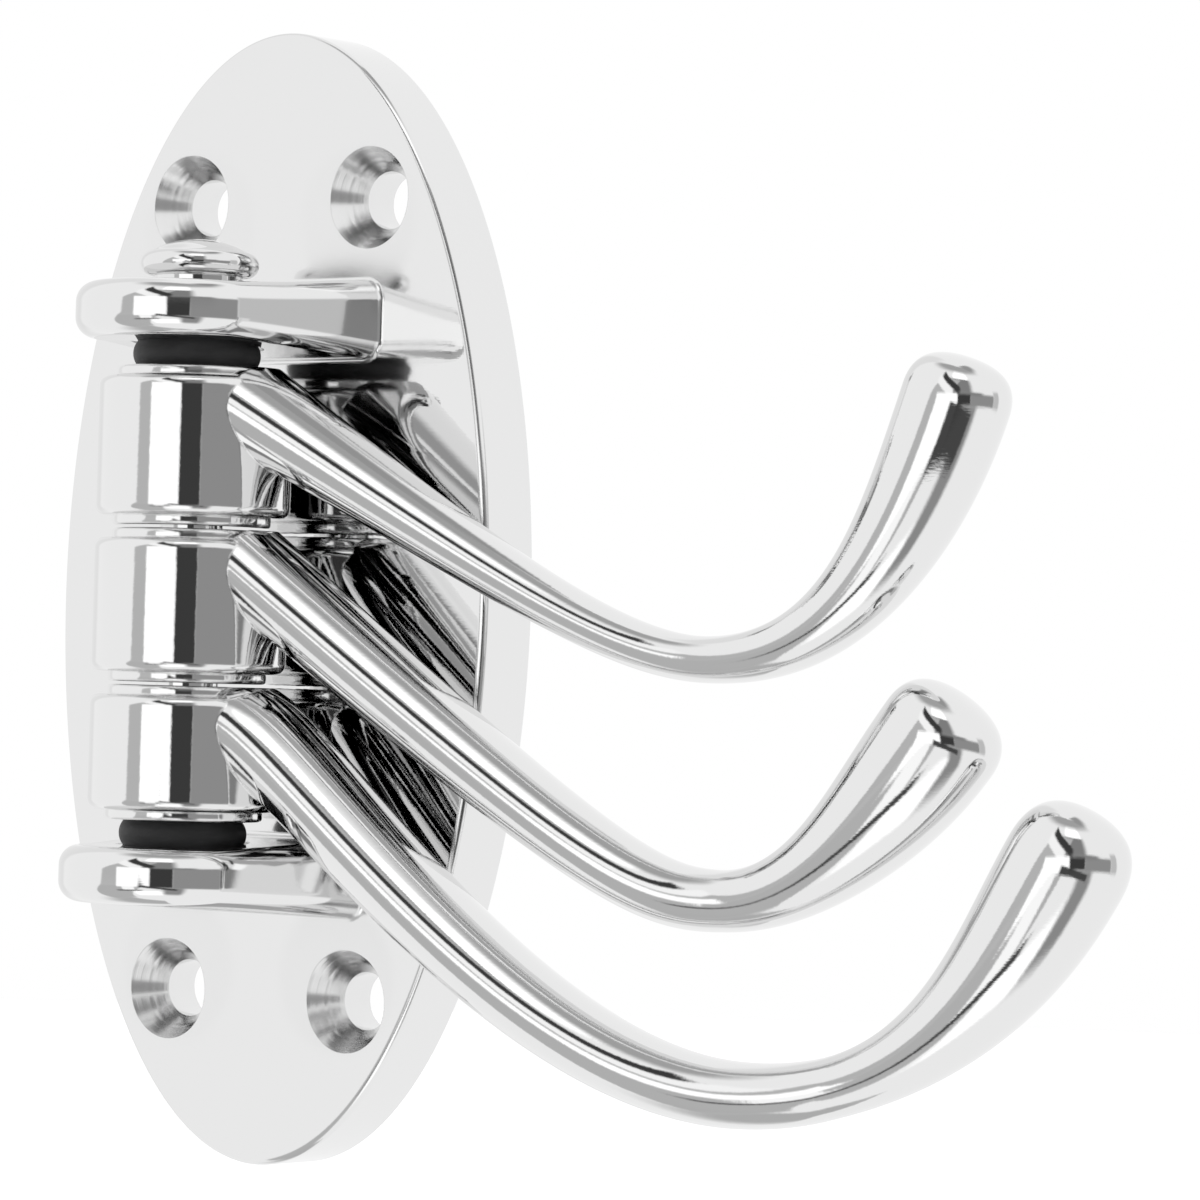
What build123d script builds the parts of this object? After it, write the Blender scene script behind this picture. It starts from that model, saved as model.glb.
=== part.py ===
from build123d import *
import math
import os

# A wall hook with three arms that swing on one upright pin.
# Frame, in millimetres: the origin is the middle of the plate's back face, which lies on the wall.
# +Z is up, +X is to the right and -Y points into the room.

# Backplate
plate_height = 112.0
plate_width = 56.0
plate_thickness = 7.0
plate_edge_radius = 0.7

# Screw holes, countersunk from the front
screw_spacing_x = 23.6
screw_spacing_z = 78.5
screw_bore_radius = 2.85
countersink_radius = 5.0
countersink_depth = 3.2

# Pin and its place in front of the plate
pin_radius = 3.0
pin_offset = 11.2
pin_fit = 0.02
neck_radius = 4.3
neck_height = 0.65
head_radius = 5.8
head_height = 3.95
head_rim_height = 2.4
head_rim_inset = 0.9
pin_end_chamfer = 0.4

# Barrels of the three hooks, stacked on the pin
barrel_radius = 9.4
barrel_edge_radius = 1.0
collar_radius = 7.65
collar_height = 0.95
collar_edge_radius = 0.35
barrel_gap = 0.3
running_clearance = 0.05

# Rubber rings between the barrels and the lugs
ring_radius = 6.2
ring_height = 2.45
ring_bulge = 0.45
ring_inner_clearance = 0.05
ring_gap = 0.1

# Lugs that carry the pin
lug_thickness = 5.5
lug_root_rise = 1.1
lug_boss_radius = 10.36
lug_boss_lead = 2.2
lug_flank_slant = 13.4
lug_edge_radius = 2.0
lug_root_fillet = 0.5
lug_seat_clearance = 0.3

# Arms: how far they are swung to the right, where 90 is parallel to the wall
arm_swing = 102.0
arm_start = 6.0
arm_width_ratio_root = 1.40
arm_width_ratio_tip = 0.86
arm_widening_start = 0.45
arm_section_count = 29
arm_trim_clearance = 1.5
tip_fullness = 0.68
tip_section_count = 7
tip_last_share = 0.95

# Each hook's barrel height and its arm's centreline, in the arm's own upright plane. Reaches are from the pin,
# heights from the barrel's middle, angles in degrees above level, and a pull is how far the line holds its
# direction past a point.
top_hook = dict(
    barrel_height=15.45, root_height=4.22, root_angle=-29.7, root_pull=31.1,
    belly_reach=55.9, belly_height=-19.33, belly_pull_in=9.7, belly_pull_out=9.6,
    tip_reach=80.1, tip_height=4.79, tip_angle=71.8, tip_pull=19.9, tip_cap=4.1,
    root_radius=4.45, slim_radius=2.17, bulb_radius=5.2, slim_place=0.58, taper_power=1.74,
)
middle_hook = dict(
    barrel_height=14.85, root_height=4.55, root_angle=-36.1, root_pull=48.1,
    belly_reach=57.6, belly_height=-26.15, belly_pull_in=7.4, belly_pull_out=4.6,
    tip_reach=79.4, tip_height=-10.43, tip_angle=53.8, tip_pull=17.6, tip_cap=4.45,
    root_radius=4.12, slim_radius=2.89, bulb_radius=5.95, slim_place=0.69, taper_power=0.92,
)
bottom_hook = dict(
    barrel_height=13.05, root_height=3.1, root_angle=-12.7, root_pull=6.5,
    belly_reach=60.7, belly_height=-29.68, belly_pull_in=24.0, belly_pull_out=19.4,
    tip_reach=91.9, tip_height=-7.46, tip_angle=60.2, tip_pull=8.1, tip_cap=5.7,
    root_radius=4.45, slim_radius=2.87, bulb_radius=5.87, slim_place=0.70, taper_power=0.89,
)

# Places worked out from the sizes above
pin_y = -(plate_thickness + pin_offset)
stack_height = sum(hook["barrel_height"] for hook in (top_hook, middle_hook, bottom_hook)) + 2 * barrel_gap
stack_half_height = stack_height / 2
top_barrel_z = stack_half_height - top_hook["barrel_height"] / 2
bottom_barrel_z = bottom_hook["barrel_height"] / 2 - stack_half_height
middle_barrel_z = bottom_barrel_z + (bottom_hook["barrel_height"] + middle_hook["barrel_height"]) / 2 + barrel_gap
lug_inner_z = stack_half_height + ring_gap + ring_height
lug_outer_z = lug_inner_z + lug_thickness
lug_slant_angle = math.radians(lug_flank_slant)
lug_boss_y = pin_y - lug_boss_lead
lug_meet_x = lug_boss_radius * math.cos(lug_slant_angle)
lug_meet_y = lug_boss_y - lug_boss_radius * math.sin(lug_slant_angle)
barrel_bore_radius = pin_radius + running_clearance
lug_bore_radius = pin_radius + pin_fit
through = 2 * lug_outer_z


def on_pin(part):
    """Moves a piece drawn round the Z axis onto the pin's axis."""
    return Pos(0, pin_y, 0) * part


# Backplate with its two lugs, one casting
def screw_hole():
    """The space of one countersunk screw hole, drawn with its mouth at the plate's front face."""
    bore = extrude(Plane.XZ * Circle(screw_bore_radius), amount=plate_thickness)
    profile = make_face(Polyline(
        (0, 0), (countersink_radius, 0), (screw_bore_radius, countersink_depth), (0, countersink_depth), (0, 0)
    ))
    cone = revolve(Plane.XY * profile, Axis.Y)
    return bore + Pos(0, -plate_thickness, 0) * cone


def lug(z_middle):
    """A lug: round in front, with straight flanks that spread towards the plate and faces that swell into it."""
    back_y = -plate_thickness / 2
    back_x = lug_meet_x + (back_y - lug_meet_y) * math.tan(lug_slant_angle)
    outline = make_face([
        ThreePointArc((-lug_meet_x, lug_meet_y), (0, lug_boss_y - lug_boss_radius), (lug_meet_x, lug_meet_y)),
        Line((lug_meet_x, lug_meet_y), (back_x, back_y)),
        Line((back_x, back_y), (-back_x, back_y)),
        Line((-back_x, back_y), (-lug_meet_x, lug_meet_y)),
    ])
    body = extrude(outline, amount=lug_thickness, both=True) & lug_side_view()
    rims = [edge for edge in body.edges() if on_rim(edge)]
    return Pos(0, 0, z_middle) * fillet(rims, lug_edge_radius)


def lug_side_view():
    """The lug seen from its side: even round the pin, then swelling along two large arcs to the plate."""
    half = lug_thickness / 2
    reach = -plate_thickness - lug_meet_y
    swell_radius = (reach ** 2 + lug_root_rise ** 2) / (2 * lug_root_rise)
    front_y = lug_boss_y - 2 * lug_boss_radius
    back_turn = math.asin((-plate_thickness / 2 - lug_meet_y) / swell_radius)

    def on_swell(turn, side):
        return (0, lug_meet_y + swell_radius * math.sin(turn), side * (half + swell_radius * (1 - math.cos(turn))))
    side = make_face([
        Line((0, front_y, half), (0, lug_meet_y, half)),
        ThreePointArc((0, lug_meet_y, half), on_swell(back_turn / 2, 1), on_swell(back_turn, 1)),
        Line(on_swell(back_turn, 1), on_swell(back_turn, -1)),
        ThreePointArc(on_swell(back_turn, -1), on_swell(back_turn / 2, -1), (0, lug_meet_y, -half)),
        Line((0, lug_meet_y, -half), (0, front_y, -half)),
        Line((0, front_y, -half), (0, front_y, half)),
    ])
    return extrude(side, amount=plate_width / 2, dir=(1, 0, 0), both=True)


def on_rim(edge):
    """Whether an edge of a lug lies between a face and its rounded front or its flanks."""
    start, middle, end = (edge.position_at(share) for share in (0.0, 0.5, 1.0))
    level = min(abs(start.Z), abs(middle.Z), abs(end.Z)) > lug_thickness / 2 - 0.001
    across = abs(start.Y - end.Y) < 0.001 and abs(start.Y - middle.Y) < 0.001
    return level and not across


def backplate():
    plate = extrude(Plane.XZ * Ellipse(plate_width / 2, plate_height / 2), amount=plate_thickness)
    plate = fillet(plate.faces().sort_by(Axis.Y)[0].edges(), plate_edge_radius)
    lug_middle_z = (lug_inner_z + lug_outer_z) / 2
    body = plate + lug(lug_middle_z) + lug(-lug_middle_z)
    roots = [edge for edge in body.edges()
             if abs(edge.center().Y + plate_thickness) < 0.01
             and lug_middle_z - lug_thickness < abs(edge.center().Z) < lug_middle_z + lug_thickness]
    body = fillet(roots, lug_root_fillet)
    body -= on_pin(Cylinder(ring_radius + lug_seat_clearance, 2 * lug_inner_z))
    body -= on_pin(Pos(0, 0, lug_outer_z) * Cylinder(
        head_radius + lug_seat_clearance, head_height, align=(Align.CENTER, Align.CENTER, Align.MIN)
    ))
    for x in (-screw_spacing_x / 2, screw_spacing_x / 2):
        for z in (-screw_spacing_z / 2, screw_spacing_z / 2):
            body -= Pos(x, 0, z) * screw_hole()
    return body - on_pin(Cylinder(lug_bore_radius, through))


# Hinge pin with a domed head that rests on the upper lug
def hinge_pin():
    shank = Pos(0, 0, -lug_outer_z) * Cylinder(
        pin_radius, 2 * lug_outer_z, align=(Align.CENTER, Align.CENTER, Align.MIN)
    )
    shank = chamfer(shank.edges().sort_by(Axis.Z)[0], pin_end_chamfer)
    neck = Pos(0, 0, lug_outer_z) * Cylinder(neck_radius, neck_height, align=(Align.CENTER, Align.CENTER, Align.MIN))
    rim_radius = head_radius - head_rim_inset
    dome_rise = head_height - head_rim_height
    dome_radius = (rim_radius ** 2 + dome_rise ** 2) / (2 * dome_rise)
    dome_turn = math.degrees(math.asin(rim_radius / dome_radius))
    profile = make_face([
        Line((0, 0), (rim_radius, 0)),
        ThreePointArc((rim_radius, 0), (head_radius, head_rim_height / 2), (rim_radius, head_rim_height)),
        CenterArc((0, head_height - dome_radius), dome_radius, 90 - dome_turn, dome_turn),
        Line((0, head_height), (0, 0)),
    ])
    head = Pos(0, 0, lug_outer_z + neck_height) * revolve(Plane.XZ * profile, Axis.Z)
    return on_pin(shank + neck + head)


# Rubber rings, bulged by the squeeze between lug and barrel
def rubber_ring(z_low):
    inner = pin_radius + ring_inner_clearance
    flat = ring_radius - ring_bulge
    profile = make_face([
        Line((inner, 0), (flat, 0)),
        ThreePointArc((flat, 0), (ring_radius, ring_height / 2), (flat, ring_height)),
        Line((flat, ring_height), (inner, ring_height)),
        Line((inner, ring_height), (inner, 0)),
    ])
    return on_pin(Pos(0, 0, z_low) * revolve(Plane.XZ * profile, Axis.Z))


# Hooks: a barrel and its arm, cast as one piece
def barrel(z_middle, barrel_height):
    """A barrel with rounded shoulders and a low collar at each end."""
    main = Cylinder(barrel_radius, barrel_height - 2 * collar_height)
    main = fillet(main.edges().filter_by(GeomType.CIRCLE), barrel_edge_radius)
    collars = Cylinder(collar_radius, barrel_height)
    collars = fillet(collars.edges().filter_by(GeomType.CIRCLE), collar_edge_radius)
    return Pos(0, 0, z_middle) * (main + collars)


def ease(share):
    """A smooth step from 0 to 1 with level ends."""
    return math.sin(math.pi / 2 * min(max(share, 0), 1)) ** 2


def arm_radii(place, shape):
    """Half height and half width of an arm's oval section at a place from 0 at the root to 1 at the tip."""
    slim = shape["slim_radius"]
    if place < shape["slim_place"]:
        grow = (shape["root_radius"] - slim) * (1 - place / shape["slim_place"]) ** shape["taper_power"]
    else:
        grow = (shape["bulb_radius"] - slim) * ease((place - shape["slim_place"]) / (1 - shape["slim_place"]))
    widening = ease((place - arm_widening_start) / (1 - arm_widening_start))
    ratio = arm_width_ratio_root + (arm_width_ratio_tip - arm_width_ratio_root) * widening
    return slim + grow, (slim + grow) * ratio


def arm_line(z_middle, shape):
    """The arm's centreline: down from the barrel to the belly, then up to the tip."""
    def ahead(point, angle, distance):
        turn = math.radians(angle)
        return (point[0] + distance * math.cos(turn), 0, point[2] + distance * math.sin(turn))
    root = (arm_start, 0, z_middle + shape["root_height"])
    belly = (shape["belly_reach"], 0, z_middle + shape["belly_height"])
    tip = (shape["tip_reach"], 0, z_middle + shape["tip_height"])
    down = Bezier(
        root, ahead(root, shape["root_angle"], shape["root_pull"]), ahead(belly, 0, -shape["belly_pull_in"]), belly
    )
    up = Bezier(
        belly, ahead(belly, 0, shape["belly_pull_out"]), ahead(tip, shape["tip_angle"], -shape["tip_pull"]), tip
    )
    return Wire([down, up])


def arm(z_middle, shape):
    """Oval sections lofted along the centreline and on round the tip."""
    line = arm_line(z_middle, shape)
    sections = []
    for step in range(arm_section_count):
        place = step / (arm_section_count - 1)
        distance = place * line.length
        half_height, half_width = arm_radii(place, shape)
        plane = Plane(
            origin=line.position_at(distance, PositionMode.LENGTH),
            x_dir=(0, 1, 0),
            z_dir=line.tangent_at(distance, PositionMode.LENGTH),
        )
        sections.append(plane * Ellipse(half_width, half_height))
    for step in range(1, tip_section_count + 1):
        size, rise = tip_curve(tip_last_share * step / tip_section_count)
        sections.append(plane.offset(rise * shape["tip_cap"]) * Ellipse(half_width * size, half_height * size))
    return loft(sections)


def tip_curve(share):
    """Size and rise of the tip, from 0 at its base to 1 at its crown, a little blunter than a ball."""
    rest = 1 - share
    base, crown = rest ** 3 + 3 * rest ** 2 * share, share ** 3 + 3 * rest * share ** 2
    return base + 3 * rest * share ** 2 * tip_fullness, crown + 3 * rest ** 2 * share * tip_fullness


def hook(z_middle, shape):
    barrel_height = shape["barrel_height"]
    top = z_middle + barrel_height / 2
    clear = Pos(0, 0, top) * Cylinder(
        lug_boss_radius + lug_boss_lead + arm_trim_clearance, barrel_height, align=(Align.CENTER, Align.CENTER, Align.MIN)
    )
    bore = Pos(0, 0, z_middle) * Cylinder(barrel_bore_radius, 2 * barrel_height)
    solid = barrel(z_middle, barrel_height) + (arm(z_middle, shape) - clear) - bore
    return on_pin(Rot(0, 0, arm_swing - 90) * solid)


os.makedirs("parts", exist_ok=True)
export_step(backplate(), "parts/backplate.step")
export_step(hinge_pin(), "parts/hinge_pin.step")
export_step(rubber_ring(lug_inner_z - ring_height), "parts/upper_rubber_ring.step")
export_step(rubber_ring(-lug_inner_z), "parts/lower_rubber_ring.step")
export_step(hook(top_barrel_z, top_hook), "parts/top_hook.step")
export_step(hook(middle_barrel_z, middle_hook), "parts/middle_hook.step")
export_step(hook(bottom_barrel_z, bottom_hook), "parts/bottom_hook.step")
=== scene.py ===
import math
import bmesh
import bpy
from mathutils import Matrix, Vector


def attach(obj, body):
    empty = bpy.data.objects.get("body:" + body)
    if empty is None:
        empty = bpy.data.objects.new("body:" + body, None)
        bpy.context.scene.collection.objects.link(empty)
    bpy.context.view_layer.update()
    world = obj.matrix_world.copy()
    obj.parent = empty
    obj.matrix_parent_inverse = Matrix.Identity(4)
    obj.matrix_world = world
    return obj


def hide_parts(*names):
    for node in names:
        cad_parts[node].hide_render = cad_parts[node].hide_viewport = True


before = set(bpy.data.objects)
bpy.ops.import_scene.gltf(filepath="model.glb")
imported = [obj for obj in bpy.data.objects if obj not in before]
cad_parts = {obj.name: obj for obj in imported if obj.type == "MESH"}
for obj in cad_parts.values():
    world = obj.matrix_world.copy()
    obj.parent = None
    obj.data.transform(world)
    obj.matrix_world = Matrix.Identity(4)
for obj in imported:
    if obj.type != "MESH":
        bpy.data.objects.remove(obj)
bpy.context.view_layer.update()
MM = 0.001

# Backplate.
# An oval plate with two lugs for the pin, one zinc die casting, polished all over and chrome plated.
# Four countersunk screw holes are drilled from the front after polishing, and the back lies on the wall.
PLATE_HEIGHT = 112.0
PLATE_WIDTH = 56.0
PLATE_THICKNESS = 7.0
PLATE_EDGE = 0.7
SCREW_X = 23.6 / 2
SCREW_Z = 78.5 / 2
BORE_RADIUS = 2.85
COUNTERSINK_RADIUS = 5.0
COUNTERSINK_DEPTH = 3.2
PIN_Y = -18.2
LUG_INNER = 24.5
LUG_OUTER = 30.0
LUG_RADIUS = 10.36
LUG_CENTRE_Y = PIN_Y - 2.2
LUG_SLANT = math.radians(13.4)
LUG_EDGE = 2.0
LUG_SWELL = 1.1
LUG_ROOT_ROUND = 0.5
SEAT_RADIUS = 6.5
HEAD_SEAT_RADIUS = 6.1
PIN_RADIUS = 3.0
# The mesh's steps. Over the last part before the plate, the lug's root, they are fine enough for its round.
EDGE_STEPS = 8
LUG_FRONT_STEPS = 40
LUG_FLANK_STEPS = 14
LUG_EDGE_STEPS = 10
LUG_ROOT_LENGTH = 1.2
LUG_ROOT_STEP = 0.05
LUG_ROOT_STEPS = 36
LUG_SWELL_POWER = 1.3
LUG_ROOT_SINK = 0.02
# The cutters for the seats stop just short of the lugs' faces, and the drills run past the plate.
SEAT_CUT_SHY = 0.005
HEAD_SEAT_HEIGHT = 4.0
DRILL_OVERRUN = 1.0
# The lines that buffing leaves, long along the level and close together up the part, and the slow change in gloss.
BUFF_LINE_MM = 1.4
BUFF_SPACING_MM = 0.2
BUFF_LINE_SHARE = 0.4
HAZE_MM = 9.0


def linear(code):
    """An sRGB hex colour as linear red, green, blue and alpha."""
    parts = [int(code[i:i + 2], 16) / 255 for i in (1, 3, 5)]
    return [c / 12.92 if c <= 0.04045 else ((c + 0.055) / 1.055) ** 2.4 for c in parts] + [1.0]


def add(tree, kind, inputs=None, **settings):
    """Adds a node, sets its properties, and fills or links its inputs."""
    made = tree.nodes.new(kind)
    for name, value in settings.items():
        setattr(made, name, value)
    for name, value in (inputs or {}).items():
        if isinstance(value, bpy.types.NodeSocket):
            tree.links.new(value, made.inputs[name])
        else:
            made.inputs[name].default_value = value
    return made


def polished_chrome(name, colour, grain_mm, grain_height_mm, roughness, edge_mm):
    """Bright chrome over a hand-polished casting.
    The buffed metal under the plating is never quite flat: a fine ripple and faint level lines make the borders of
    reflections slightly ragged, and the gloss changes a little from place to place."""
    material = bpy.data.materials.new(name)
    material.use_nodes = True
    tree = material.node_tree
    shader = tree.nodes["Principled BSDF"]
    shader.inputs["Base Color"].default_value = linear(colour)
    shader.inputs["Metallic"].default_value = 1.0
    place = add(tree, "ShaderNodeTexCoord").outputs["Object"]
    corner = add(tree, "ShaderNodeBevel", {"Radius": edge_mm * MM}, samples=6)
    grain = add(tree, "ShaderNodeTexNoise", {"Vector": place, "Scale": 1 / (grain_mm * MM), "Detail": 3.0})
    squeezed = add(tree, "ShaderNodeMapping", {
        "Vector": place, "Scale": (1.0, 1.0, BUFF_LINE_MM / BUFF_SPACING_MM),
    })
    lines = add(tree, "ShaderNodeTexNoise", {
        "Vector": squeezed.outputs[0], "Scale": 1 / (BUFF_LINE_MM * MM), "Detail": 2.0,
    })
    buffed = add(tree, "ShaderNodeBump", {
        "Height": lines.outputs["Fac"], "Distance": grain_height_mm * BUFF_LINE_SHARE * MM,
        "Normal": corner.outputs["Normal"],
    })
    ripple = add(tree, "ShaderNodeBump", {
        "Height": grain.outputs["Fac"], "Distance": grain_height_mm * MM, "Normal": buffed.outputs["Normal"],
    })
    tree.links.new(ripple.outputs["Normal"], shader.inputs["Normal"])
    wear = add(tree, "ShaderNodeTexNoise", {"Vector": place, "Scale": 1 / (HAZE_MM * MM), "Detail": 4.0})
    haze = add(tree, "ShaderNodeMapRange", {
        "Value": wear.outputs["Fac"], "From Min": 0.35, "From Max": 0.7,
        "To Min": roughness * 0.7, "To Max": roughness * 1.4,
    })
    tree.links.new(haze.outputs["Result"], shader.inputs["Roughness"])
    return material


def turned_chrome(name, colour, centres, pitch_mm):
    """Chrome over a countersink cut with a drill, whose fine rings catch the light as dark and bright lines."""
    material = bpy.data.materials.new(name)
    material.use_nodes = True
    tree = material.node_tree
    shader = tree.nodes["Principled BSDF"]
    shader.inputs["Base Color"].default_value = linear(colour)
    shader.inputs["Metallic"].default_value = 1.0
    shader.inputs["Roughness"].default_value = 0.2
    place = add(tree, "ShaderNodeTexCoord").outputs["Object"]
    split = add(tree, "ShaderNodeSeparateXYZ", {"Vector": place})
    folded_x = add(tree, "ShaderNodeMath", {0: split.outputs["X"]}, operation="ABSOLUTE")
    folded_z = add(tree, "ShaderNodeMath", {0: split.outputs["Z"]}, operation="ABSOLUTE")
    flat = add(tree, "ShaderNodeCombineXYZ", {"X": folded_x.outputs[0], "Z": folded_z.outputs[0]})
    reach = add(tree, "ShaderNodeVectorMath", {0: flat.outputs[0], 1: centres}, operation="DISTANCE")
    rings = add(tree, "ShaderNodeTexNoise", {
        "W": reach.outputs["Value"], "Scale": 1 / (pitch_mm * MM), "Detail": 2.0,
    }, noise_dimensions="1D")
    cut = add(tree, "ShaderNodeBump", {"Height": rings.outputs["Fac"], "Distance": 0.02 * MM})
    tree.links.new(cut.outputs["Normal"], shader.inputs["Normal"])
    return material


def new_object(name, mesh_builder, *materials):
    """A mesh object at the origin, from a bmesh in millimetres."""
    mesh = bpy.data.meshes.new(name)
    bmesh.ops.scale(mesh_builder, vec=(MM, MM, MM), verts=mesh_builder.verts)
    bmesh.ops.recalc_face_normals(mesh_builder, faces=mesh_builder.faces)
    mesh_builder.to_mesh(mesh)
    mesh_builder.free()
    made = bpy.data.objects.new(name, mesh)
    bpy.context.scene.collection.objects.link(made)
    for material in materials:
        mesh.materials.append(material)
    return made


def cut_or_join(body, tool, operation):
    """Joins the tool to the body or cuts it out of it, and keeps only the result."""
    work = body.modifiers.new(operation, "BOOLEAN")
    work.operation = operation
    work.object = tool
    work.solver = "EXACT"
    work.material_mode = "TRANSFER"
    bpy.context.view_layer.update()
    result = bpy.data.meshes.new_from_object(body.evaluated_get(bpy.context.evaluated_depsgraph_get()))
    body.modifiers.remove(work)
    old = body.data
    body.data = result
    result.name = body.name
    bpy.data.meshes.remove(old)
    bpy.data.objects.remove(tool, do_unlink=True)


def smooth(body, sharp_degrees):
    """Smooth shading with crisp borders, in which large flat faces stay flat."""
    body.data.shade_smooth()
    body.data.set_sharp_from_angle(angle=math.radians(sharp_degrees))
    even = body.modifiers.new("even", "WEIGHTED_NORMAL")
    even.keep_sharp = True
    even.weight = 100


def skin(builder, rings, closed_ends=True):
    """Faces between rings of points, the same number of points in each ring."""
    rows = [[builder.verts.new(point) for point in ring] for ring in rings]
    count = len(rows[0])
    for low, high in zip(rows, rows[1:]):
        for i in range(count):
            builder.faces.new((low[i], low[(i + 1) % count], high[(i + 1) % count], high[i]))
    if closed_ends:
        builder.faces.new(reversed(rows[0]))
        builder.faces.new(rows[-1])
    return rows


def arc(centre, radius, start, end, steps):
    """Points on an arc, with angles in degrees."""
    angles = [math.radians(start + (end - start) * i / steps) for i in range(steps + 1)]
    return [(centre[0] + radius * math.cos(a), centre[1] + radius * math.sin(a)) for a in angles]


def turned(builder, profile, axis_x, axis_y, steps=128):
    """A closed solid of revolution round an upright axis, from (radius, height) points that end on the axis."""
    rows = []
    for radius, height in profile:
        if radius == 0:
            rows.append([builder.verts.new((axis_x, axis_y, height))])
        else:
            ring = arc((axis_x, axis_y), radius, 0, 360, steps)[:-1]
            rows.append([builder.verts.new((x, y, height)) for x, y in ring])
    for low, high in zip(rows, rows[1:]):
        for i in range(steps):
            j = (i + 1) % steps
            corners = [low[i % len(low)], low[j % len(low)], high[j % len(high)], high[i % len(high)]]
            corners = list(dict.fromkeys(corners))
            if len(corners) > 2:
                builder.faces.new(corners)


plate_chrome = polished_chrome("chrome_on_polished_zinc_plate", "#E8E8E8", 1.2, 0.0025, 0.03, 0.25)
# A buffing wheel doesn't reach into the corners by the lugs, so the plate stays duller there, most of all
# above the upper lug. Each patch: x, z, reach, fade in millimetres, roughness.
DULL_PATCHES = ((6.0, 31.0, 14.0, 5.0, 0.08), (10.5, 37.0, 6.5, 3.0, 0.20))
tree = plate_chrome.node_tree
shader = tree.nodes["Principled BSDF"]
folded = add(tree, "ShaderNodeVectorMath", {0: add(tree, "ShaderNodeTexCoord").outputs["Object"]},
             operation="ABSOLUTE")
for x, z, reach, fade, roughness in DULL_PATCHES:
    away = add(tree, "ShaderNodeVectorMath", {0: folded.outputs[0], 1: (x * MM, PLATE_THICKNESS * MM, z * MM)},
               operation="DISTANCE")
    dull = add(tree, "ShaderNodeMapRange", {
        "Value": away.outputs["Value"], "From Min": reach * MM, "From Max": (reach + fade) * MM,
        "To Min": roughness, "To Max": 0.0,
    }, interpolation_type="SMOOTHSTEP")
    duller = add(tree, "ShaderNodeMath", {
        0: shader.inputs["Roughness"].links[0].from_socket, 1: dull.outputs["Result"],
    }, operation="MAXIMUM")
    tree.links.new(duller.outputs[0], shader.inputs["Roughness"])
countersink_chrome = turned_chrome(
    "chrome_on_drilled_countersink", "#E8E8E8", (SCREW_X * MM, -PLATE_THICKNESS * MM, SCREW_Z * MM), 0.22
)

builder = bmesh.new()
front_round = arc((-PLATE_EDGE, -PLATE_THICKNESS + PLATE_EDGE), PLATE_EDGE, 0, -90, EDGE_STEPS)
rings = []
for inset, y in [(0.0, 0.0)] + front_round:
    rings.append([
        ((PLATE_WIDTH / 2 + inset) * x, y, (PLATE_HEIGHT / 2 + inset) * z)
        for x, z in arc((0, 0), 1, 0, 360, 360)[:-1]
    ])
skin(builder, rings)
backplate = new_object("backplate_casting", builder, plate_chrome, countersink_chrome)


def lug_block(low):
    """A lug as upright slices along its outline, from the round front along spreading flanks into the plate.
    Its faces swell a little towards the plate, and the root runs out in a small hollow round."""
    builder = bmesh.new()
    half = (LUG_OUTER - LUG_INNER) / 2
    meet = math.pi / 2 - LUG_SLANT
    start_x = LUG_RADIUS * math.sin(meet)
    start_y = LUG_CENTRE_Y - LUG_RADIUS * math.cos(meet)
    path = []
    for step in range(LUG_FRONT_STEPS + 1):
        turn = meet * step / LUG_FRONT_STEPS
        path.append((LUG_RADIUS * math.sin(turn), LUG_CENTRE_Y - LUG_RADIUS * math.cos(turn),
                     math.sin(turn), -math.cos(turn)))
    root_y = -PLATE_THICKNESS - LUG_ROOT_LENGTH
    stations = [start_y + (root_y - start_y) * i / LUG_FLANK_STEPS for i in range(1, LUG_FLANK_STEPS + 1)]
    stations += [root_y + LUG_ROOT_STEP * i for i in range(1, LUG_ROOT_STEPS + 1)] + [-PLATE_THICKNESS / 2]
    for y in stations:
        flank_x = start_x + (y - start_y) * math.tan(LUG_SLANT)
        path.append((flank_x, y, math.cos(LUG_SLANT), -math.sin(LUG_SLANT)))

    def slice_points(spot, side):
        x, y, out_x, out_y = spot
        points = []
        for step in range(LUG_EDGE_STEPS + 1):
            lean = math.pi / 2 * step / LUG_EDGE_STEPS
            inset = LUG_EDGE * (1 - math.sin(lean))
            depth = y - out_y * inset
            swell = LUG_SWELL * (max(depth - start_y, 0) / (-PLATE_THICKNESS - start_y)) ** LUG_SWELL_POWER
            ahead = max(-PLATE_THICKNESS - depth + LUG_ROOT_SINK, LUG_ROOT_SINK)
            near = LUG_ROOT_ROUND - min(ahead, LUG_ROOT_ROUND)
            grow = LUG_ROOT_ROUND - math.sqrt(LUG_ROOT_ROUND ** 2 - near ** 2)
            size = math.hypot(out_x * math.sin(lean), math.cos(lean))
            points.append((
                side * (x - out_x * inset + grow * out_x * math.sin(lean) / size), depth,
                half + swell - LUG_EDGE * (1 - math.cos(lean)) + grow * math.cos(lean) / size,
            ))
        points += [(px, py, -pz) for px, py, pz in reversed(points)]
        return [builder.verts.new((px, py, low + half + pz)) for px, py, pz in points]
    right = [slice_points(spot, 1) for spot in path]
    left = right[:1] + [slice_points(spot, -1) for spot in path[1:]]
    for columns in (right, left):
        for a, b in zip(columns, columns[1:]):
            for i in range(len(a) - 1):
                builder.faces.new((a[i], a[i + 1], b[i + 1], b[i]))
    for i in range(len(path) - 1):
        for end in (0, -1):
            corners = [right[i][end], right[i + 1][end], left[i + 1][end], left[i][end]]
            builder.faces.new(list(dict.fromkeys(corners)))
    builder.faces.new(right[-1] + left[-1][::-1])
    return new_object("lug", builder, plate_chrome)


def upright_disc(radius, low, high):
    """A round cutter on the pin's axis."""
    builder = bmesh.new()
    turned(builder, [(0, low), (radius, low), (radius, high), (0, high)], 0, PIN_Y, 128)
    return new_object("cutter", builder, plate_chrome)


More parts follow.
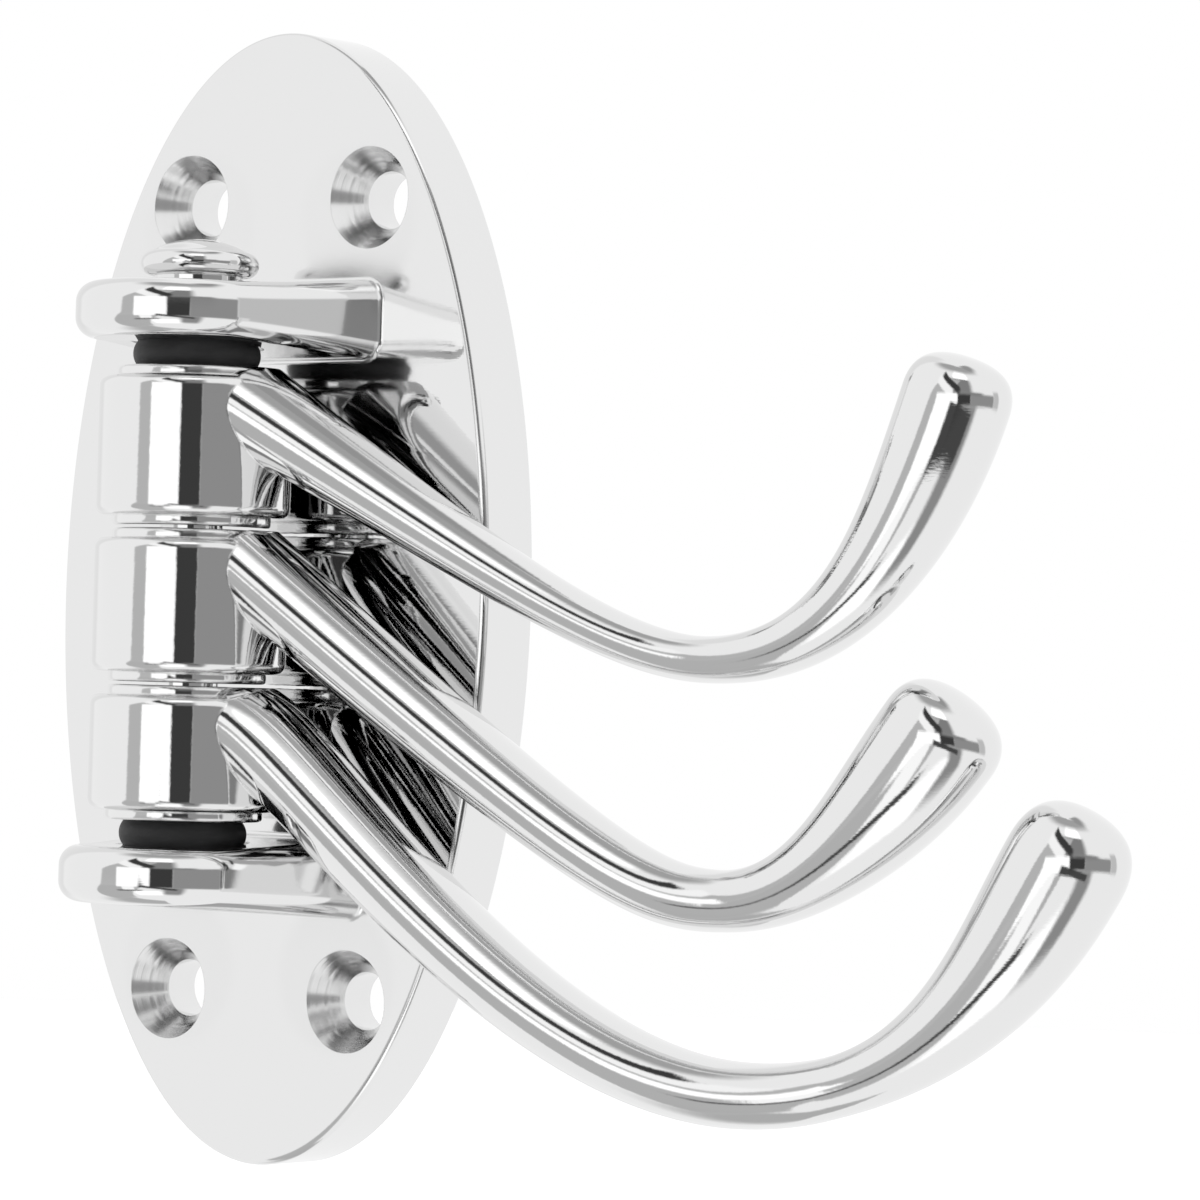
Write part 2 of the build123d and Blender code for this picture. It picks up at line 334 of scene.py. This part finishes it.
for low in (LUG_INNER, -LUG_OUTER):
    cut_or_join(backplate, lug_block(low), "UNION")
ring_seats = upright_disc(SEAT_RADIUS, SEAT_CUT_SHY - LUG_INNER, LUG_INNER - SEAT_CUT_SHY)
cut_or_join(backplate, ring_seats, "DIFFERENCE")
head_seat = upright_disc(HEAD_SEAT_RADIUS, LUG_OUTER + SEAT_CUT_SHY, LUG_OUTER + HEAD_SEAT_HEIGHT)
cut_or_join(backplate, head_seat, "DIFFERENCE")
for x in (-SCREW_X, SCREW_X):
    for z in (-SCREW_Z, SCREW_Z):
        builder = bmesh.new()
        face = PLATE_THICKNESS
        turned(builder, [
            (0, -DRILL_OVERRUN), (BORE_RADIUS, -DRILL_OVERRUN), (BORE_RADIUS, face - COUNTERSINK_DEPTH),
            (COUNTERSINK_RADIUS, face), (COUNTERSINK_RADIUS + DRILL_OVERRUN, face + DRILL_OVERRUN),
            (0, face + DRILL_OVERRUN),
        ], 0, 0, 96)
        placed = Matrix.Translation((x, 0, z)) @ Matrix.Rotation(math.pi / 2, 4, "X")
        bmesh.ops.transform(builder, matrix=placed, verts=builder.verts)
        cut_or_join(backplate, new_object("drill", builder, countersink_chrome), "DIFFERENCE")
smooth(backplate, 28)
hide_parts("backplate")
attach(backplate, "plate")

# Hinge pin.
# A turned steel pin with a domed head, pressed down through both lugs. A thin collar keeps the head
# just clear of the upper lug, and the lower end is flush with the lower lug.
HEAD_RADIUS = 5.8
HEAD_BASE = LUG_OUTER + 0.9
HEAD_RIM = 2.3
HEAD_HEIGHT = 3.65
HEAD_ROUND = 1.2
NECK_RADIUS = 4.3
PIN_END_CHAMFER = 0.4
DOME_START = 0.75
DOME_START_ANGLE = 76

pin_chrome = polished_chrome("chrome_on_turned_steel_pin", "#E6E6E6", 0.9, 0.002, 0.04, 0.15)
builder = bmesh.new()
rim_end = HEAD_RADIUS - HEAD_ROUND * DOME_START
dome_rise = HEAD_HEIGHT - HEAD_RIM
dome_radius = (rim_end ** 2 + dome_rise ** 2) / (2 * dome_rise)
dome_turn = math.degrees(math.asin(rim_end / dome_radius))
head_side = arc((HEAD_RADIUS - HEAD_ROUND, HEAD_BASE + HEAD_ROUND), HEAD_ROUND, -90, DOME_START_ANGLE, 18)
dome = arc((0, HEAD_BASE + HEAD_HEIGHT - dome_radius), dome_radius, 90 - dome_turn, 90, 16)
turned(builder, [
    (0, -LUG_OUTER), (PIN_RADIUS - PIN_END_CHAMFER, -LUG_OUTER), (PIN_RADIUS, -LUG_OUTER + PIN_END_CHAMFER),
    (PIN_RADIUS, LUG_OUTER), (NECK_RADIUS, LUG_OUTER), (NECK_RADIUS, HEAD_BASE),
    *head_side, *dome[1:-1], (0, HEAD_BASE + HEAD_HEIGHT),
], 0, PIN_Y, 160)
pin = new_object("hinge_pin_turned", builder, pin_chrome)
smooth(pin, 40)
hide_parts("hinge_pin")
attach(pin, "plate")

# Rubber rings.
# Two black rubber rings, moulded, squeezed on the pin between a lug and the stack of barrels so that
# the arms turn stiffly. The squeeze makes their sides bulge.
RING_RADIUS = 6.2
RING_BULGE = 0.45
RING_HEIGHT = 2.45
RING_INNER = PIN_RADIUS + 0.05
RING_STEPS = 128
BLOOM_MM = 3.0
GRIT_MM = 0.25


def moulded_rubber(name, colour):
    """Black nitrile rubber from a steel mould: matte, with a faint dusty bloom."""
    material = bpy.data.materials.new(name)
    material.use_nodes = True
    tree = material.node_tree
    shader = tree.nodes["Principled BSDF"]
    shader.inputs["Roughness"].default_value = 0.55
    shader.inputs["Specular IOR Level"].default_value = 0.4
    place = add(tree, "ShaderNodeTexCoord").outputs["Object"]
    stretched = add(tree, "ShaderNodeMapping", {"Vector": place, "Scale": (1.0, 1.0, 4.0)})
    bloom = add(tree, "ShaderNodeTexNoise", {
        "Vector": stretched.outputs[0], "Scale": 1 / (BLOOM_MM * MM), "Detail": 5.0,
    })
    tone = add(tree, "ShaderNodeMix", {"Factor": bloom.outputs["Fac"], 6: linear(colour), 7: linear("#3A3A3B")},
               data_type="RGBA")
    tree.links.new(tone.outputs[2], shader.inputs["Base Color"])
    grit = add(tree, "ShaderNodeTexNoise", {"Vector": place, "Scale": 1 / (GRIT_MM * MM), "Detail": 3.0})
    skin_bump = add(tree, "ShaderNodeBump", {"Height": grit.outputs["Fac"], "Distance": 0.02 * MM})
    tree.links.new(skin_bump.outputs["Normal"], shader.inputs["Normal"])
    return material


ring_rubber = moulded_rubber("moulded_nitrile_rubber", "#1C1C1D")
for node_name, low in (("upper_rubber_ring", LUG_INNER - RING_HEIGHT), ("lower_rubber_ring", -LUG_INNER)):
    builder = bmesh.new()
    middle = low + RING_HEIGHT / 2
    flat = RING_RADIUS - RING_BULGE
    curve = (RING_BULGE ** 2 + (RING_HEIGHT / 2) ** 2) / (2 * RING_BULGE)
    spread = math.degrees(math.asin(RING_HEIGHT / 2 / curve))
    side = arc((RING_RADIUS - curve, middle), curve, -spread, spread, 12)
    profile = [(RING_INNER, low)] + side + [(RING_INNER, low + RING_HEIGHT)]
    rows = [[builder.verts.new((x, y, height)) for x, y in arc((0, PIN_Y), radius, 0, 360, RING_STEPS)[:-1]]
            for radius, height in profile]
    for inner, outer in zip(rows, rows[1:] + rows[:1]):
        for i in range(RING_STEPS):
            j = (i + 1) % RING_STEPS
            builder.faces.new((inner[i], inner[j], outer[j], outer[i]))
    ring = new_object(node_name + "_moulded", builder, ring_rubber)
    smooth(ring, 35)
    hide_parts(node_name)
    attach(ring, "plate")

# Hooks.
# Three arms that swing on the pin. Each is one zinc casting, a short barrel with a long arm that
# droops and turns up into a full rounded tip, buffed by hand and chrome plated.
ARM_SWING = math.radians(102.0)
BARREL_RADIUS = 9.4
BARREL_EDGE = 1.0
COLLAR_RADIUS = 7.65
COLLAR_HEIGHT = 0.95
COLLAR_EDGE = 0.35
BARREL_BORE = PIN_RADIUS + 0.05
ARM_START = 6.0
TIP_FULLNESS = 0.68
WIDTH_RATIO_ROOT = 1.40
WIDTH_RATIO_TIP = 0.86
WIDENING_START = 0.45
ARM_RINGS = 150
ARM_SIDES = 72
LINE_STEPS = 600
TIP_RINGS = 20
ARM_TRIM_RADIUS = 13.8
ARM_TRIM_HEIGHT = 12.0
BORE_OVERRUN = 2.0
HOOKS = (
    dict(name="top", low=6.525, high=21.975, root_height=4.22, root_angle=-29.7, root_pull=31.1,
         belly=(55.9, -19.33), pull_in=9.7, pull_out=9.6, tip=(80.1, 4.79), tip_angle=71.8, tip_pull=19.9,
         cap=4.1, root=4.45, slim=2.17, bulb=5.2, slim_place=0.58, power=1.74),
    dict(name="middle", low=-8.625, high=6.225, root_height=4.55, root_angle=-36.1, root_pull=48.1,
         belly=(57.6, -26.15), pull_in=7.4, pull_out=4.6, tip=(79.4, -10.43), tip_angle=53.8, tip_pull=17.6,
         cap=4.45, root=4.12, slim=2.89, bulb=5.95, slim_place=0.69, power=0.92),
    dict(name="bottom", low=-21.975, high=-8.925, root_height=3.1, root_angle=-12.7, root_pull=6.5,
         belly=(60.7, -29.68), pull_in=24.0, pull_out=19.4, tip=(91.9, -7.46), tip_angle=60.2, tip_pull=8.1,
         cap=5.7, root=4.45, slim=2.87, bulb=5.87, slim_place=0.70, power=0.89),
)


def ease(share):
    """A soft start and a soft end between 0 and 1."""
    return math.sin(math.pi / 2 * min(max(share, 0), 1)) ** 2


def bezier(a, b, c, d, t):
    """A point on the curve from a to d that leaves towards b and comes in from c."""
    return a * (1 - t) ** 3 + b * 3 * (1 - t) ** 2 * t + c * 3 * (1 - t) * t ** 2 + d * t ** 3


def arm_line(hook):
    """Evenly spaced points and directions on the arm's centreline, as (reach, height)."""
    middle = (hook["low"] + hook["high"]) / 2
    root = Vector((ARM_START, middle + hook["root_height"]))
    belly = Vector((hook["belly"][0], middle + hook["belly"][1]))
    tip = Vector((hook["tip"][0], middle + hook["tip"][1]))

    def heading(degrees):
        return Vector((math.cos(math.radians(degrees)), math.sin(math.radians(degrees))))
    down = (root, root + heading(hook["root_angle"]) * hook["root_pull"],
            belly - Vector((hook["pull_in"], 0)), belly)
    up = (belly, belly + Vector((hook["pull_out"], 0)),
          tip - heading(hook["tip_angle"]) * hook["tip_pull"], tip)
    fine = [bezier(*part, i / LINE_STEPS) for part in (down, up) for i in range(LINE_STEPS + 1)]
    lengths = [0.0]
    for a, b in zip(fine, fine[1:]):
        lengths.append(lengths[-1] + (b - a).length)
    points = []
    cursor = 0
    for step in range(ARM_RINGS):
        goal = lengths[-1] * step / (ARM_RINGS - 1)
        while cursor < len(fine) - 2 and lengths[cursor + 1] < goal:
            cursor += 1
        span = lengths[cursor + 1] - lengths[cursor]
        share = (goal - lengths[cursor]) / span if span else 0
        points.append(fine[cursor].lerp(fine[cursor + 1], share))
    headings = []
    for i in range(ARM_RINGS):
        headings.append((points[min(i + 1, ARM_RINGS - 1)] - points[max(i - 1, 0)]).normalized())
    headings[-1] = heading(hook["tip_angle"])
    headings[0] = heading(hook["root_angle"])
    return points, headings


def arm_radii(place, hook):
    """Half height and half width of the oval section, from 0 at the root to 1 at the tip."""
    if place < hook["slim_place"]:
        grow = (hook["root"] - hook["slim"]) * (1 - place / hook["slim_place"]) ** hook["power"]
    else:
        grow = (hook["bulb"] - hook["slim"]) * ease((place - hook["slim_place"]) / (1 - hook["slim_place"]))
    widening = ease((place - WIDENING_START) / (1 - WIDENING_START))
    size = hook["slim"] + grow
    return size, size * (WIDTH_RATIO_ROOT + (WIDTH_RATIO_TIP - WIDTH_RATIO_ROOT) * widening)


def arm_mesh(hook):
    """The arm as oval rings along its line, closed at the tip by rings that shrink to a nose."""
    builder = bmesh.new()
    outward = Vector((math.sin(ARM_SWING), -math.cos(ARM_SWING), 0))
    across = Vector((math.cos(ARM_SWING), math.sin(ARM_SWING), 0))
    up = Vector((0, 0, 1))
    axis = Vector((0, PIN_Y, 0))

    def oval(centre, along, height, width):
        raised = outward * -along.y + up * along.x
        return [centre + raised * (height * math.cos(a)) + across * (width * math.sin(a))
                for a in (math.tau * i / ARM_SIDES for i in range(ARM_SIDES))]
    points, headings = arm_line(hook)
    rings = []
    for i, (point, along) in enumerate(zip(points, headings)):
        height, width = arm_radii(i / (ARM_RINGS - 1), hook)
        rings.append(oval(axis + outward * point.x + up * point.y, along, height, width))
    forward = outward * along.x + up * along.y
    end = axis + outward * point.x + up * point.y
    for step in range(1, TIP_RINGS):
        t = step / TIP_RINGS
        size = bezier(1, 1, TIP_FULLNESS, 0, t)
        ahead = bezier(0, TIP_FULLNESS, 1, 1, t) * hook["cap"]
        rings.append(oval(end + forward * ahead, along, height * size, width * size))
    rows = skin(builder, rings, closed_ends=False)
    builder.faces.new(rows[0])
    nose = builder.verts.new(end + forward * hook["cap"])
    for i in range(ARM_SIDES):
        builder.faces.new((rows[-1][i], rows[-1][(i + 1) % ARM_SIDES], nose))
    return new_object("arm", builder, hook_chrome)


def barrel_profile(low, high):
    """The barrel's outline from its lower end to its upper end: collar, shoulder, wall, shoulder, collar."""
    lower = arc((COLLAR_RADIUS - COLLAR_EDGE, low + COLLAR_EDGE), COLLAR_EDGE, -90, 0, 6)
    lower.append((COLLAR_RADIUS, low + COLLAR_HEIGHT))
    lower += arc((BARREL_RADIUS - BARREL_EDGE, low + COLLAR_HEIGHT + BARREL_EDGE), BARREL_EDGE, -90, 0, 10)
    upper = [(radius, low + high - height) for radius, height in reversed(lower)]
    return [(0, low)] + lower + upper + [(0, high)]


hook_chrome = polished_chrome("chrome_on_buffed_zinc_hook", "#E8E8E8", 0.9, 0.005, 0.02, 0.3)
for hook in HOOKS:
    builder = bmesh.new()
    turned(builder, barrel_profile(hook["low"], hook["high"]), 0, PIN_Y, 192)
    body = new_object(hook["name"] + "_hook_casting", builder, hook_chrome)
    arm = arm_mesh(hook)
    builder = bmesh.new()
    turned(builder, [
        (0, hook["high"]), (ARM_TRIM_RADIUS, hook["high"]), (ARM_TRIM_RADIUS, hook["high"] + ARM_TRIM_HEIGHT),
        (0, hook["high"] + ARM_TRIM_HEIGHT),
    ], 0, PIN_Y, 96)
    cut_or_join(arm, new_object("trim", builder, hook_chrome), "DIFFERENCE")
    cut_or_join(body, arm, "UNION")
    builder = bmesh.new()
    turned(builder, [
        (0, hook["low"] - BORE_OVERRUN), (BARREL_BORE, hook["low"] - BORE_OVERRUN),
        (BARREL_BORE, hook["high"] + BORE_OVERRUN), (0, hook["high"] + BORE_OVERRUN),
    ], 0, PIN_Y, 96)
    cut_or_join(body, new_object("bore", builder, hook_chrome), "DIFFERENCE")
    smooth(body, 28)
    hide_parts(hook["name"] + "_hook")
    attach(body, hook["name"] + "_arm")

# Floor and studio.
# A plain pale floor well below the plate, and a white studio whose soft boxes, dark camera side and
# grey wall show in the chrome. The surroundings are told apart by their direction from the object.
FLOOR_Z = -220.0
FLOOR_RADIUS = 3000.0
PAPER_LIFT = 0.3
VIEW_AZIMUTH = math.radians(38.585)
TO_CAMERA = Vector((math.sin(VIEW_AZIMUTH), -math.cos(VIEW_AZIMUTH), 0))
TO_RIGHT = Vector((math.cos(VIEW_AZIMUTH), math.sin(VIEW_AZIMUTH), 0))
STUDIO_LIGHT = "#FFFFFF"
# Each panel: name, left, right, low, high, softness across, softness up, lean, tilt, brightness. Angles are
# degrees to the right of the camera and above level. Lean moves the sides per degree up, and tilt the top
# and bottom per degree to the right.
PANELS = (
    ("dim wall behind, left", -174, -138, -22, 67, 5, 8, 0.15, 0, 0.87),
    ("dim room over the camera", -25, 15, 7, 47, 6, 4.5, 0, 0, 0.25),
    ("shaded strip by the soft box", -67, -30, -6, 42, 1.5, 5, 0.6, 0, 0.54),
    ("shaded strip, lower part", -67, -16, -64, -3, 1.5, 5, 0.5, 0, 0.52),
    ("light on the ceiling", -24, 14, 44, 80, 4, 1.5, 0, 0, 1.45),
    ("grey ceiling", -140, 60, 66, 104, 16, 8, 0.2, 0, 0.42),
    ("dim ceiling behind, right", 86, 160, 69, 85, 7, 5, -0.3, 0, 0.35),
    ("dark bar under the lamp", -46, -8, -4, 14, 3, 2.5, 0, -1, 0.05),
    ("light bar", -52, -22, -26, -6, 3, 2.5, 0, -1, 1.1),
    ("shaded table, low left", -156, -32, -93, -58, 7, 10, 0.4, 0, 0.5),
    ("soft box", -50, -14, -10, 9, 1.2, 2.5, 0, 0, 1.3),
    ("soft box, lower part", -44, -30, -25, -8, 1.5, 2, 0, 0, 1.15),
    ("light patch on the table", -33, 5, -53, -31, 5, 4, 0, 0, 1.4),
    ("dark edge of the table, left", -52, -22, -30, -25, 3, 1.2, 0, 0, 0.07),
    ("shade under the table's edge", 2, 26, -50, -10, 5, 8, 0, 0, 0.3),
    ("dark front edge of the table", -24, 22, -20, -11, 2.3, 1.6, 0.2, -0.35, 0.07),
    ("grey wall, right", 12, 66, -14, 9, 1.2, 3.5, 0, 0, 0.31),
    ("light wall, far right", 66, 82, -15, 17, 2.5, 4.6, 0, 0, 0.6),
    ("dark strip over the wall", -9, 38, 5, 13, 7, 2.5, 0, 0, 0.27),
    ("dark camera side", -12.5, 12, -11, 8, 1, 4, 0, 0, 0.05),
)

world = bpy.data.worlds.new("white_studio")
bpy.context.scene.world = world
world.use_nodes = True
tree = world.node_tree
tree.nodes.clear()
ray = add(tree, "ShaderNodeTexCoord").outputs["Generated"]
ahead = add(tree, "ShaderNodeVectorMath", {0: ray, 1: TO_CAMERA}, operation="DOT_PRODUCT")
aside = add(tree, "ShaderNodeVectorMath", {0: ray, 1: TO_RIGHT}, operation="DOT_PRODUCT")
height = add(tree, "ShaderNodeSeparateXYZ", {"Vector": ray})
turn = add(tree, "ShaderNodeMath", {0: aside.outputs["Value"], 1: ahead.outputs["Value"]}, operation="ARCTAN2")
turn = add(tree, "ShaderNodeMath", {0: turn.outputs[0]}, operation="DEGREES").outputs[0]
rise = add(tree, "ShaderNodeMath", {0: height.outputs["Z"]}, operation="ARCSINE")
rise = add(tree, "ShaderNodeMath", {0: rise.outputs[0]}, operation="DEGREES").outputs[0]
glow = add(tree, "ShaderNodeValue")
glow.outputs[0].default_value = 1.0
glow = glow.outputs[0]
for name, left, right, low, high, soft_across, soft_up, lean, tilt, brightness in PANELS:
    across = add(tree, "ShaderNodeMath", {0: rise, 1: -lean, 2: turn}, operation="MULTIPLY_ADD").outputs[0]
    upward = add(tree, "ShaderNodeMath", {0: turn, 1: -tilt, 2: rise}, operation="MULTIPLY_ADD").outputs[0]
    edges = []
    for value, start, end in (
        (across, left - soft_across, left + soft_across), (across, right + soft_across, right - soft_across),
        (upward, low - soft_up, low + soft_up), (upward, high + soft_up, high - soft_up),
    ):
        edges.append(add(tree, "ShaderNodeMapRange", {"Value": value, "From Min": start, "From Max": end},
                         interpolation_type="SMOOTHSTEP").outputs["Result"])
    inside = edges[0]
    for edge in edges[1:]:
        inside = add(tree, "ShaderNodeMath", {0: inside, 1: edge}, operation="MULTIPLY").outputs[0]
    glow = add(tree, "ShaderNodeMix", {
        "Factor": inside, "A": glow, "B": brightness,
    }, label=name).outputs["Result"]
seen = add(tree, "ShaderNodeLightPath").outputs["Is Camera Ray"]
glow = add(tree, "ShaderNodeMix", {"Factor": seen, "A": glow, "B": 1.0}).outputs["Result"]
sky = add(tree, "ShaderNodeBackground", {"Color": linear(STUDIO_LIGHT), "Strength": glow})
add(tree, "ShaderNodeOutputWorld", {"Surface": sky.outputs[0]})

builder = bmesh.new()
lowered = Matrix.Translation((0, 0, FLOOR_Z))
bmesh.ops.create_circle(builder, cap_ends=True, segments=96, radius=FLOOR_RADIUS, matrix=lowered)
paper = bpy.data.materials.new("white_background_paper")
paper.use_nodes = True
tree = paper.node_tree
shader = tree.nodes["Principled BSDF"]
shader.inputs["Base Color"].default_value = linear("#F4F4F4")
shader.inputs["Roughness"].default_value = 0.9
seen = add(tree, "ShaderNodeLightPath").outputs["Is Camera Ray"]
lift = add(tree, "ShaderNodeMath", {0: seen, 1: PAPER_LIFT}, operation="MULTIPLY")
tree.links.new(lift.outputs[0], shader.inputs["Emission Strength"])
shader.inputs["Emission Color"].default_value = linear("#FFFFFF")
floor = new_object("floor", builder, paper)
floor.visible_glossy = False

# Camera.
# It stands a little over half a metre from the hook, slightly below its middle and to its right.
CAMERA_ELEVATION = math.radians(-0.969)
CAMERA_ROLL = math.radians(1.664)
CAMERA_DISTANCE = 539.779
CAMERA_SHIFT_RIGHT = 28.549
CAMERA_SHIFT_UP = -0.004

back = Vector((TO_CAMERA.x * math.cos(CAMERA_ELEVATION), TO_CAMERA.y * math.cos(CAMERA_ELEVATION),
               math.sin(CAMERA_ELEVATION)))
level_up = back.cross(TO_RIGHT)
right = TO_RIGHT * math.cos(CAMERA_ROLL) + level_up * math.sin(CAMERA_ROLL)
above = level_up * math.cos(CAMERA_ROLL) - TO_RIGHT * math.sin(CAMERA_ROLL)
camera_data = bpy.data.cameras.new("camera")
camera_data.lens = 162.117
camera_data.sensor_width = 36.0
camera_data.clip_start = 0.01
camera = bpy.data.objects.new("camera", camera_data)
bpy.context.scene.collection.objects.link(camera)
spot = (right * CAMERA_SHIFT_RIGHT + above * CAMERA_SHIFT_UP + back * CAMERA_DISTANCE) * MM
camera.matrix_world = Matrix.Translation(spot) @ Matrix((right, above, back)).transposed().to_4x4()
bpy.context.scene.camera = camera
bpy.context.scene.view_settings.view_transform = "Standard"
